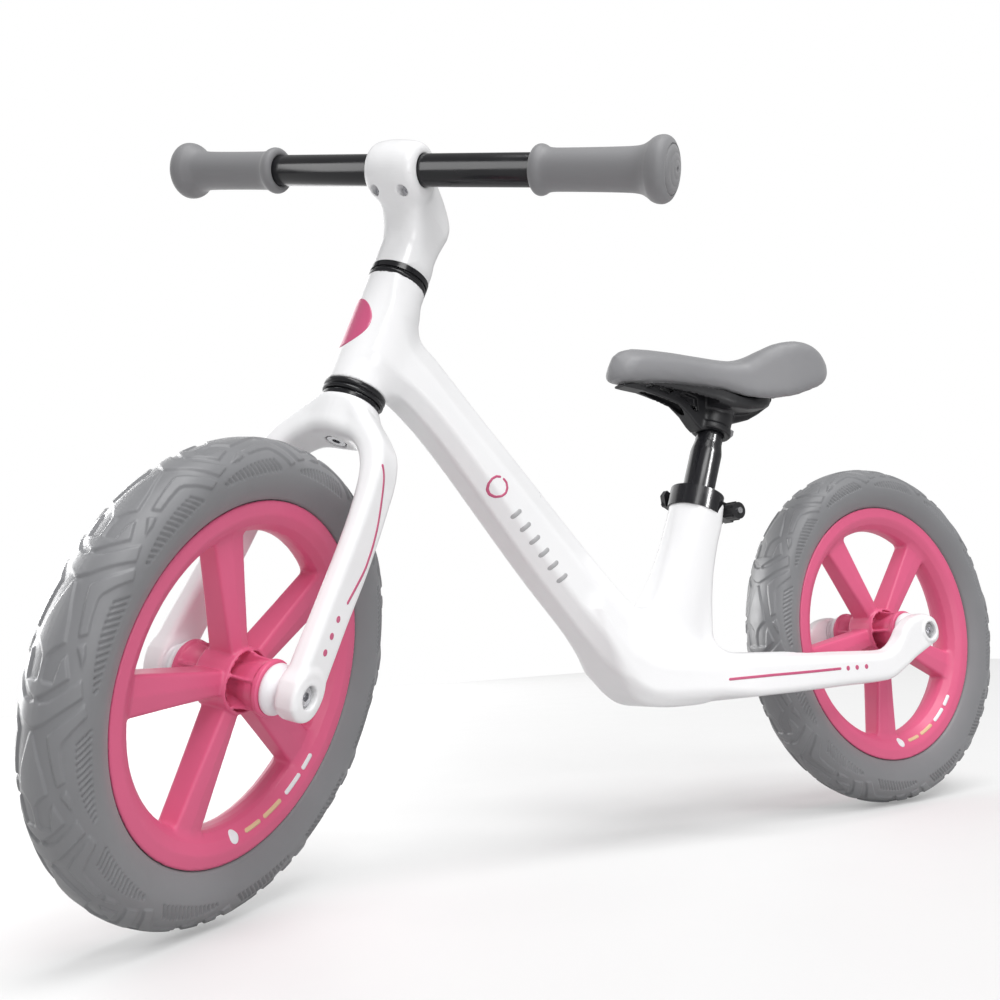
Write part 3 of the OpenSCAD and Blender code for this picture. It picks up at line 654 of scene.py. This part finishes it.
# heights along the pad: the top at its middle and its edges, and the lower rim
PAD_X = [60, 70, 78, 86, 96, 108, 120, 134, 147, 157, 162, 175, 190, 215, 240, 255, 264, 272, 279]
PAD_MID = [368, 374, 378, 379.5, 379.8, 378.5, 377.2, 376.2, 375.8, 376.0, 376.3, 377, 377.8, 378.6, 379,
           378.6, 377, 373, 365]
PAD_EDGE = [358, 365, 371, 376.5, 382.5, 387, 388.2, 386, 380.0, 373.5, 370.5, 369.5, 370.5, 372.5, 374,
            373.5, 372, 368, 361]
RIM_X = [60, 70, 84, 100, 110, 121, 132, 142, 147, 154, 163, 172, 181, 193, 210, 227, 245, 262, 272, 280]
RIM_Z = [367, 362.5, 355, 347.3, 343, 338.6, 335.2, 334, 334, 335, 338, 342, 345.8, 348.6, 351, 352.3, 352.4,
         351.4, 350.6, 349.5]


def pad_field(x, y, z):
    """Saddle cover: dished in the middle, wings at the back, a nose in front."""
    wide = np.abs(y)
    half = np.interp(x, PAD_HALF[::-1, 0], PAD_HALF[::-1, 1])
    t = smoothstep(np.clip(wide / np.maximum(0.82 * half, 1), 0, 1))
    ease = np.interp(x, [95, 150, 210], [0.2, 0.6, 2.0])      # the outlines stand out of the rounded form
    top = np.interp(x, PAD_X, PAD_MID) * (1 - t) + np.interp(x, PAD_X, PAD_EDGE) * t + 0.7 * ease
    rim = np.interp(x, RIM_X, RIM_Z) - 1.4 * ease - np.interp(x, [95, 125, 160], [1.8, 1.4, 0])
    t = smoothstep(np.clip((half - wide) / 26, 0, 1))
    low = rim + np.maximum(353 - rim, 0) * t
    body = smax((z - top) * 0.93, (low - z) * 0.95, 9)
    return smax(body, inside_of(x, y, PAD_PLAN) - ease, 13)


SHRINK = 1.1                  # the pad starts this much small and swells back by as much
CLOTH = {"quality": 8, "mass": 0.2, "tension_stiffness": 40, "compression_stiffness": 40,
         "shear_stiffness": 20, "bending_stiffness": 6, "use_pressure": True, "uniform_pressure_force": 4}
SWELL_FRAMES = 20


def pillow(name, field, low, high, cell, body, material, stands_for):
    """Padded cover: a slightly small form, swollen by a short cloth run and capped near its outline."""
    verts, quads, _ = skin(lambda x, y, z: field(x, y, z) + SHRINK, low, high, cell)
    obj = piece(name, verts, quads, body, material, stands_for=stands_for)
    rest = np.array([v.co[:] for v in obj.data.vertices])
    outward = gradient(field, rest / MM)
    outward /= np.linalg.norm(outward, axis=1)[:, None]
    cloth = obj.modifiers.new("swell", "CLOTH")
    for key, value in CLOTH.items():
        setattr(cloth.settings, key, value)
    cloth.settings.effector_weights.gravity = 0
    cloth.collision_settings.use_collision = False
    for step in range(1, SWELL_FRAMES + 1):
        bpy.context.scene.frame_set(step)
    seen = obj.evaluated_get(bpy.context.evaluated_depsgraph_get())
    moved = np.array([v.co[:] for v in seen.data.vertices]) - rest
    obj.modifiers.clear()
    bpy.context.scene.frame_set(1)
    amount = np.clip((moved * outward).sum(1), 0, SHRINK * MM)
    for _ in range(3):
        amount = smooth_over(obj.data, amount)
    obj.data.vertices.foreach_set("co", (rest + outward * amount[:, None]).ravel())
    obj.data.update()
    sub = obj.modifiers.new("round", "SUBSURF")
    sub.levels = sub.render_levels = 1
    return obj


def smooth_over(mesh, values):
    """Average of each corner's value with its neighbours'."""
    edges = np.empty(len(mesh.edges) * 2, int)
    mesh.edges.foreach_get("vertices", edges)
    a, b = edges.reshape(-1, 2).T
    total, count = values.copy(), np.ones(len(values))
    for i, j in ((a, b), (b, a)):
        np.add.at(total, i, values[j])
        np.add.at(count, i, 1)
    return total / count


pillow("saddle_cover", pad_field, (60, -64, 328), (286, 64, 396), 3.6, "saddle",
       COVER, ("saddle_pad",))

# shell, spine and socket below the pad
SOCKET_LOW = 68.0
SHELL_TOP = 358.0
SPINE = [(270, 351), (268.5, 347.4), (262, 346.5), (248, 345.1), (238, 342.8), (228, 340.2), (214, 336),
         (204, 328.3), (197, 320.2), (192, 316), (176, 318), (163, 322), (150, 324.8), (138, 327.5),
         (126, 333), (112, 341), (104, 352)]
SPINE_POCKETS = ([(248, 348.6), (242, 348), (238, 350.6), (246, 351)],
                 [(233, 347), (223, 344.6), (216, 347.6), (228, 350)],
                 [(212, 343.6), (204, 339.8), (198, 332), (194, 332), (194, 342.5), (205, 345.6)])
SHELL_HALF = curve([(268, 0), (267, 4.5), (263, 8), (255, 10.8), (245, 13), (227, 15.6), (208, 18.8),
                    (188, 23.5), (172, 28.5), (157, 31), (145, 30.5), (133, 26.5), (123, 18), (117, 9),
                    (115, 0)], steps=3)
SHELL_PLAN = np.vstack([SHELL_HALF, (SHELL_HALF[1:-1] * (1, -1))[::-1]])
SKIRT_X = [110, 117, 128, 140, 157, 174, 188, 208, 229, 243, 262, 275, 282]
SKIRT_Z = [348, 343, 336, 333, 331.2, 332.5, 337.5, 342.3, 346.0, 347.6, 349.0, 349.8, 350.5]


def base_field(x, y, z):
    """Saddle shell with its hollow, the spine under it and the socket for the post."""
    wide = np.abs(y)
    plan = inside_of(x, y, SHELL_PLAN)
    skirt = np.interp(x, SKIRT_X, SKIRT_Z)
    belly = np.interp(x, [110, 130, 150, 170, 182, 195], [0, 0.3, 0.6, 0.6, 0.4, 0])
    belly = belly * np.clip(-plan / 14, 0, 1)
    shell = smax(smax((skirt - belly - z) * 0.93, z - SHELL_TOP, 2), plan, 5)
    hollow = smax(smax(plan + 2.2, z - 351, 3), np.maximum(184 - x, x - 248), 3)
    shell = smax(shell, -hollow, 0.8)
    spine = smax(inside_of(x, z, SPINE), wide - np.interp(z, [316, 340], [7.5, 6.5]), 1.5)
    for pocket in SPINE_POCKETS:
        spine = smax(spine, -smax(inside_of(x, z, pocket), 3.2 - wide, 0.6), 1.0)
    back, high = local_xz(SEAT, x, z)
    radial = np.sqrt(back * back + y * y)
    socket = smin(drum(radial, high, 15.4, SOCKET_LOW, SOCKET_LOW + 32, 1.2),
                  drum(radial, high, 16.4, SOCKET_LOW, SOCKET_LOW + 5, 1.4), 1.5)
    shape = smin(smin(shell, spine, 2.0), socket, 2.5)
    shape = smax(shape, z - SHELL_TOP, 1)
    shape = smax(shape, 0.2 - pad_field(x, y, z), 1)
    shape = smax(shape, -drum(radial, high, 11.15, SOCKET_LOW - 30, SOCKET_LOW + 20, 0.5), 0.8)
    cross = high - SOCKET_LOW - 9
    bolt = np.sqrt(y * y + cross * cross)
    flat = smax(bolt - 5.2, 17.2 - np.abs(back), 0.5)
    return smax(smax(shape, -flat, 1), -drum(bolt, back, 2.55, -40, 40), 0.3)


moulding("saddle_shell", base_field, (108, -36, 300), (286, 36, 362), 1.3, "saddle", BLACK_PLASTIC,
         "black_plastic", stands_for=("saddle_base",))

# ---------- spacers between the hubs and the frame or fork ----------
SPACER = [(8.1, 0.2), (13.4, 0.2), (14.9, 0.7), (15.5, 2.0), (15.3, 3.6), (14.0, 5.6), (12.3, 7.4),
          (11.6, 8.8), (11.8, 10.2), (12.6, 11.2), (12.8, 11.8), (8.1, 11.8)]
for end, place, body in (("rear", REAR_WHEEL, "frame"), ("front", FRONT_WHEEL, "front_end")):
    for side, sign in (("left", 1), ("right", -1)):
        corners, quads = lathe([(r, sign * (HUB_HALF + y)) for r, y in SPACER], 96)
        if sign < 0:
            quads = quads[:, ::-1]
        piece("%s_spacer_%s" % (end, side), corners, quads[:, ::-1], body, WHITE_PLASTIC,
              place, stands_for=(end + "_spacers",) if sign > 0 else ())

# ---------- headset rings ----------
CUP_RINGS = {
    "upper_cup": [(14.8, 289.0), (20.2, 289.0), (20.9, 289.6), (21.0, 291.6), (20.3, 292.3), (19.2, 292.6),
                  (19.2, 293.4), (20.2, 293.6), (20.5, 294.2), (20.4, 295.6), (19.7, 296.2), (14.8, 296.3)],
    "lower_cup": [(14.8, 197.4), (20.6, 197.4), (21.4, 198.0), (21.5, 199.4), (20.6, 200.0), (20.0, 200.3),
                  (20.0, 200.9), (21.3, 201.1), (21.7, 201.9), (21.6, 203.8), (20.9, 204.6), (14.8, 204.7)]}
UPRIGHT = [0, 2, 1]                     # turns a lathed form from its Y axis onto Z
FINE_TURN = 160
for cup, ring in CUP_RINGS.items():
    corners, quads = lathe(ring, FINE_TURN)
    piece(cup + "_ring", corners[:, UPRIGHT], quads[:, ::-1], "frame", BLACK, HEAD,
          stands_for=(cup,))

# ---------- turned tubes ----------
POST_LINE = [(9.4, 87.6), (10.8, 88), (11.0, 87.6), (11.0, 59.5), (11.3, 57.6), (12.35, 52.4), (12.7, 50.2),
             (12.7, -86.4), (12.4, -87), (9.6, -87), (9.4, -86.5)]
corners, quads = lathe(POST_LINE, FINE_TURN)
piece("seat_post_tube", corners[:, UPRIGHT], quads[:, ::-1], "saddle", BLACK, SEAT,
      stands_for=("seat_post",))
BAR_LINE = [(9.3, -195.4), (10.8, -196), (11.1, -195.6), (11.1, 195.6), (10.8, 196), (9.3, 195.4)]
corners, quads = lathe(BAR_LINE, FINE_TURN)
piece("handlebar_tube", corners, quads[:, ::-1], "front_end", BLACK, BAR_PLACE,
      stands_for=("handlebar",))


# ---------- printed marks, plain shapes only ----------
PROBE, PROBE_STEP = 60, 0.25            # how far and how finely a form is looked for
PROUD, SUNK = 0.13, 0.5                 # how far a mark stands out of its form and reaches into it


def mark(name, grid, inward, field, body, material, place=ROW):
    """A thin printed patch: a grid of corners outside a form, dropped onto it along one direction."""
    grid, inward = np.asarray(grid, float), np.asarray(inward, float)
    reach = np.arange(0, PROBE, PROBE_STEP)
    at = grid[..., None, :] + reach[:, None] * inward
    value = field(at[..., 0], at[..., 1], at[..., 2])
    first = np.maximum(np.argmax(value < 0, axis=-1), 1)
    near = np.take_along_axis(value, (first - 1)[..., None], -1)[..., 0]
    far = np.take_along_axis(value, first[..., None], -1)[..., 0]
    met = (value < 0).any(-1)
    depth = reach[first - 1] + PROBE_STEP * near / (near - far)
    depth = np.where(met, depth, depth[met].max())
    skin_at = grid + depth[..., None] * inward
    n, m = grid.shape[:2]
    verts = np.concatenate([(skin_at - PROUD * inward).reshape(-1, 3),
                            (skin_at + SUNK * inward).reshape(-1, 3)])
    i, j = np.meshgrid(np.arange(n - 1), np.arange(m - 1), indexing="ij")
    front = np.stack([i * m + j, i * m + j + 1, (i + 1) * m + j + 1, (i + 1) * m + j], 2).reshape(-1, 4)
    rim = (list(range(m)) + [i * m + m - 1 for i in range(1, n)]
           + [(n - 1) * m + j for j in range(m - 2, -1, -1)] + [i * m for i in range(n - 2, 0, -1)])
    walls = np.array([(a, a + n * m, b + n * m, b) for a, b in zip(rim, rim[1:] + rim[:1])])
    faces = np.concatenate([front, front[:, ::-1] + n * m, walls])
    v = verts[front[0]]
    if np.cross(v[1] - v[0], v[2] - v[1]) @ inward > 0:
        faces = faces[:, ::-1]
    return piece(name, verts, faces, body, material, place)


def ribbon(line, wide):
    """Corners of a band along a line of (u, v) points, its ends rounded."""
    line = np.asarray(line, float)
    lengths = np.concatenate([[0], np.cumsum(np.hypot(*np.diff(line, axis=0).T))])
    t = np.linspace(0, lengths[-1], max(14, int(lengths[-1] / 1.2)))
    near_cap = wide / 2 * np.array([0, 0.08, 0.3, 0.6, 1.0])
    t = np.unique(np.concatenate([t, near_cap, lengths[-1] - near_cap]))
    at = np.stack([np.interp(t, lengths, line[:, 0]), np.interp(t, lengths, line[:, 1])], 1)
    along = np.gradient(at, axis=0)
    along /= np.linalg.norm(along, axis=1)[:, None]
    across = np.stack([-along[:, 1], along[:, 0]], 1)
    near_end = np.clip(1 - np.minimum(t, lengths[-1] - t) / (wide / 2), 0, 1)
    half = wide / 2 * np.sqrt(np.clip(1 - near_end ** 2, 0.02, 1))
    return at[:, None, :] + across[:, None, :] * (half[:, None] * np.linspace(-1, 1, 4))[..., None]


def disc(at, wide, high=None, count=12):
    """Corners of a filled circle or oval from its half widths."""
    high = wide if high is None else high
    u, v = np.meshgrid(np.linspace(-1, 1, count), np.linspace(-1, 1, count), indexing="ij")
    across, along = u * np.sqrt(1 - v * v / 2), v * np.sqrt(1 - u * u / 2)
    return np.stack([at[0] + wide * across, at[1] + high * along], -1)


def on_side(flat, side, away):
    """A flat grid stood up beside a form, away from its middle."""
    return np.stack([flat[..., 0], np.full(flat.shape[:2], side * away), flat[..., 1]], -1)


def arc(radius, start, stop):
    """Points on a circle, by their turns from straight up in degrees."""
    turn = np.radians(np.linspace(start, stop, 12))
    return np.stack([radius * np.sin(turn), radius * np.cos(turn)], 1)


STAY_LINE = [(216, 118.4), (180, 119.4), (113, 120.1)]
STAY_DOTS = [(x, 119.9) for x in (105.2, 94.8, 83.8)]
LEG_LINE = curve([(11.5, 150.5), (6.5, 143), (2.5, 131), (-1.6, 116), (-3.4, 104), (-3.6, 93), (-2.4, 82),
                  (4.2, 60)])
LEG_DOTS = [(8.4, 49), (9.8, 38), (11.4, 27.4)]
TUBE_RING = np.array((398, 262.5)) + arc(7.2, -20, 325)
TUBE_BARS, FIRST_BAR, BAR_STEP = 6, np.array((384.0, 243.5)), 11.6
TUBE_ALONG, BAR_REACH = unit((-74.6, -94.4)), 4.6 * np.array([0.78, -0.62])
MARK_R, DOT_R = 95.6, 95.4
RIM_DASHES = ((-147, -138.5, SAND_INK), (-136.5, -126, SAND_INK), (-123, -113, WHITE_PLASTIC),
              (-111, -104, WHITE_PLASTIC))
BESIDE_STAY, BESIDE_TUBE, BESIDE_RIM, BEFORE_HEAD = 64, 30, 19, 30.0
SIDES = ((1, "left"), (-1, "right"))
for side, word in SIDES:
    shapes = [ribbon(STAY_LINE, 2.0)] + [disc(at, 1.9) for at in STAY_DOTS]
    for i, flat in enumerate(shapes):
        mark("%s_stay_mark_%d" % (word, i), on_side(flat, side, BESIDE_STAY), (0, -side, 0), frame_field,
             "frame", PINK_INK)
    shapes = [ribbon(LEG_LINE, 2.2)] + [disc(at, 2.1) for at in LEG_DOTS]
    for i, flat in enumerate(shapes):
        mark("%s_leg_mark_%d" % (word, i), on_side(flat, side, BESIDE_STAY), (0, -side, 0), fork_field,
             "front_end", PINK_INK, FORK)
    # a ring and a plain row of bars stand where the tube is lettered
    mark("%s_tube_ring" % word, on_side(ribbon(TUBE_RING, 1.7), side, BESIDE_TUBE), (0, -side, 0),
         frame_field, "frame", PINK_INK)
    for i in range(TUBE_BARS):
        mid = FIRST_BAR + TUBE_ALONG * BAR_STEP * i
        bar = ribbon([mid - BAR_REACH, mid + BAR_REACH], 3.2)
        mark("%s_tube_bar_%d" % (word, i), on_side(bar, side, BESIDE_TUBE), (0, -side, 0), frame_field,
             "frame", GREY_INK)


def head_field(x, y, z):
    """The frame's field in the head tube's own place."""
    return frame_field(*np.moveaxis(HEAD.out(np.stack([x, y, z], -1)), -1, 0))


badge = disc((0, 247.4), 16.6, 19.2, 18)
badge = np.stack([np.full(badge.shape[:2], BEFORE_HEAD), badge[..., 0], badge[..., 1]], -1)
mark("head_badge", badge, (-1, 0, 0), head_field, "frame", PINK_INK, HEAD)
MARK_TURNS = (("front", FRONT_WHEEL, FRONT_SPOKE, 0), ("rear", REAR_WHEEL, REAR_SPOKE, -25))
for end, place, first, turn in MARK_TURNS:
    for side, word in SIDES:
        shapes = [(disc(arc(DOT_R, turn - 153, turn - 153)[0], 3.6), WHITE_PLASTIC)]
        shapes += [(ribbon(arc(MARK_R, turn + start, turn + stop), 2.4), ink)
                   for start, stop, ink in RIM_DASHES]
        for i, (flat, ink) in enumerate(shapes):
            mark("%s_%s_rim_mark_%d" % (end, word, i), on_side(flat, side, BESIDE_RIM), (0, -side, 0),
                 rim_field(first), end + "_wheel", ink, place)

# ---------- stage, light and camera ----------
scene = bpy.context.scene
scene.view_settings.view_transform = "Standard"
FLOOR_HALF, FLOOR_MID, FLOOR_DROP = 2.5, 0.25, 0.0006
floor = bpy.data.objects.new("floor", bpy.data.meshes.new("floor"))
floor.data.from_pydata([(FLOOR_MID + FLOOR_HALF * a, FLOOR_HALF * b, -FLOOR_DROP)
                        for a, b in ((-1, -1), (1, -1), (1, 1), (-1, 1))], [], [(0, 1, 2, 3)])
PALE_FLOOR = shader("pale_floor", (0.56, 0.56, 0.56), 0.55, mottle=0.004, mottle_scale=2, grain=0.0,
                    Specular_IOR_Level=0.25)
floor.data.materials.append(PALE_FLOOR)
scene.collection.objects.link(floor)

world = bpy.data.worlds.new("studio")
scene.world = world
world.use_nodes = True
net = world.node_tree
net.nodes.clear()
surroundings, backdrop = net.nodes.new("ShaderNodeBackground"), net.nodes.new("ShaderNodeBackground")
surroundings.inputs["Strength"].default_value = 0.36
backdrop.inputs["Strength"].default_value = 1.0
for glow in (surroundings, backdrop):
    glow.inputs["Color"].default_value = (1, 1, 1, 1)
ray, either = net.nodes.new("ShaderNodeLightPath"), net.nodes.new("ShaderNodeMixShader")
net.links.new(ray.outputs["Is Camera Ray"], either.inputs[0])
net.links.new(surroundings.outputs[0], either.inputs[1])
net.links.new(backdrop.outputs[0], either.inputs[2])
net.links.new(either.outputs[0], net.nodes.new("ShaderNodeOutputWorld").inputs[0])


def area(name, at, aim, size, power, only=()):
    """A soft rectangle of light, unseen by the camera; for named pieces it is only gloss on them."""
    light = bpy.data.lights.new(name, "AREA")
    light.shape = "RECTANGLE"
    light.size, light.size_y = size
    light.energy = power
    obj = bpy.data.objects.new(name, light)
    obj.location = at
    obj.rotation_euler = (Vector(aim) - Vector(at)).to_track_quat("-Z", "Y").to_euler()
    obj.visible_camera = False
    obj.visible_diffuse = not only
    scene.collection.objects.link(obj)
    if only:
        lit = bpy.data.collections.new(name + "_lit")
        for piece_name in only:
            lit.objects.link(bpy.data.objects[piece_name])
        obj.light_linking.receiver_collection = lit


area("backdrop", (0.9, -2.2, 0.9), (0.4, 0, 0.3), (3.6, 1.8), 34)
area("side_softbox", (0.9, 2.2, 1.9), (0.3, 0, 0.25), (1.2, 0.7), 23.5)
area("tyre_strip", (1.5, -1.35, 0.65), (0.6, 0, 0.2), (1.3, 1.5), 80,
     ("front_tyre_tread", "rear_tyre_tread"))
area("low_fill", (0.6, 2.6, 0.25), (0.3, 0, 0.2), (1.4, 0.6), 13)
area("bar_strip", (1.55, 0.25, 0.75), (0.43, 0, 0.52), (1.6, 1.0), 26, ("handlebar_tube",))
area("post_strip", (-0.39, 1.67, 0.80), (0.19, 0, 0.3), (0.2, 1.2), 60, ("seat_post_tube", "seat_collar"))
sun = bpy.data.lights.new("overhead", "SUN")
sun.energy = 2.0
sun.angle = math.radians(36)
overhead = bpy.data.objects.new("overhead", sun)
overhead.rotation_euler = Vector((0.02, -0.40, -1)).to_track_quat("-Z", "Y").to_euler()
scene.collection.objects.link(overhead)

# the floor shows a little brighter than it lights, like a lit-up paper sweep
sweep = PALE_FLOOR.node_tree
gloss = next(n for n in sweep.nodes if n.type == "BSDF_PRINCIPLED")
glow, ray, lift, either = (sweep.nodes.new("ShaderNode" + kind)
                           for kind in ("Emission", "LightPath", "AddShader", "MixShader"))
glow.inputs["Strength"].default_value = 0.275
sweep.links.new(gloss.outputs[0], lift.inputs[0])
sweep.links.new(glow.outputs[0], lift.inputs[1])
sweep.links.new(ray.outputs["Is Camera Ray"], either.inputs[0])
sweep.links.new(gloss.outputs[0], either.inputs[1])
sweep.links.new(lift.outputs[0], either.inputs[2])
surface = next(n for n in sweep.nodes if n.type == "OUTPUT_MATERIAL")
sweep.links.new(either.outputs[0], surface.inputs[0])

YAW, PITCH, ROLL = (math.radians(a) for a in (-121.608, 8.745, -2.971))
CAMERA_AT = (0.79166, 0.65065, 0.16383)
ahead = np.array([math.cos(PITCH) * math.cos(YAW), math.cos(PITCH) * math.sin(YAW), math.sin(PITCH)])
right = unit(np.cross(ahead, (0, 0, 1)))
above = np.cross(right, ahead)
right, above = (math.cos(ROLL) * right + math.sin(ROLL) * above,
                math.cos(ROLL) * above - math.sin(ROLL) * right)
view = Matrix.Identity(4)
for col, axis in enumerate((right, above, -ahead, CAMERA_AT)):
    for row in range(3):
        view[row][col] = float(axis[row])
lens = bpy.data.cameras.new("camera")
lens.sensor_width, lens.lens = 36.0, 38.726
lens.shift_x, lens.shift_y = 0.0097, -0.0354
lens.clip_start = 0.02
camera = bpy.data.objects.new("camera", lens)
camera.matrix_world = view
scene.collection.objects.link(camera)
scene.camera = camera
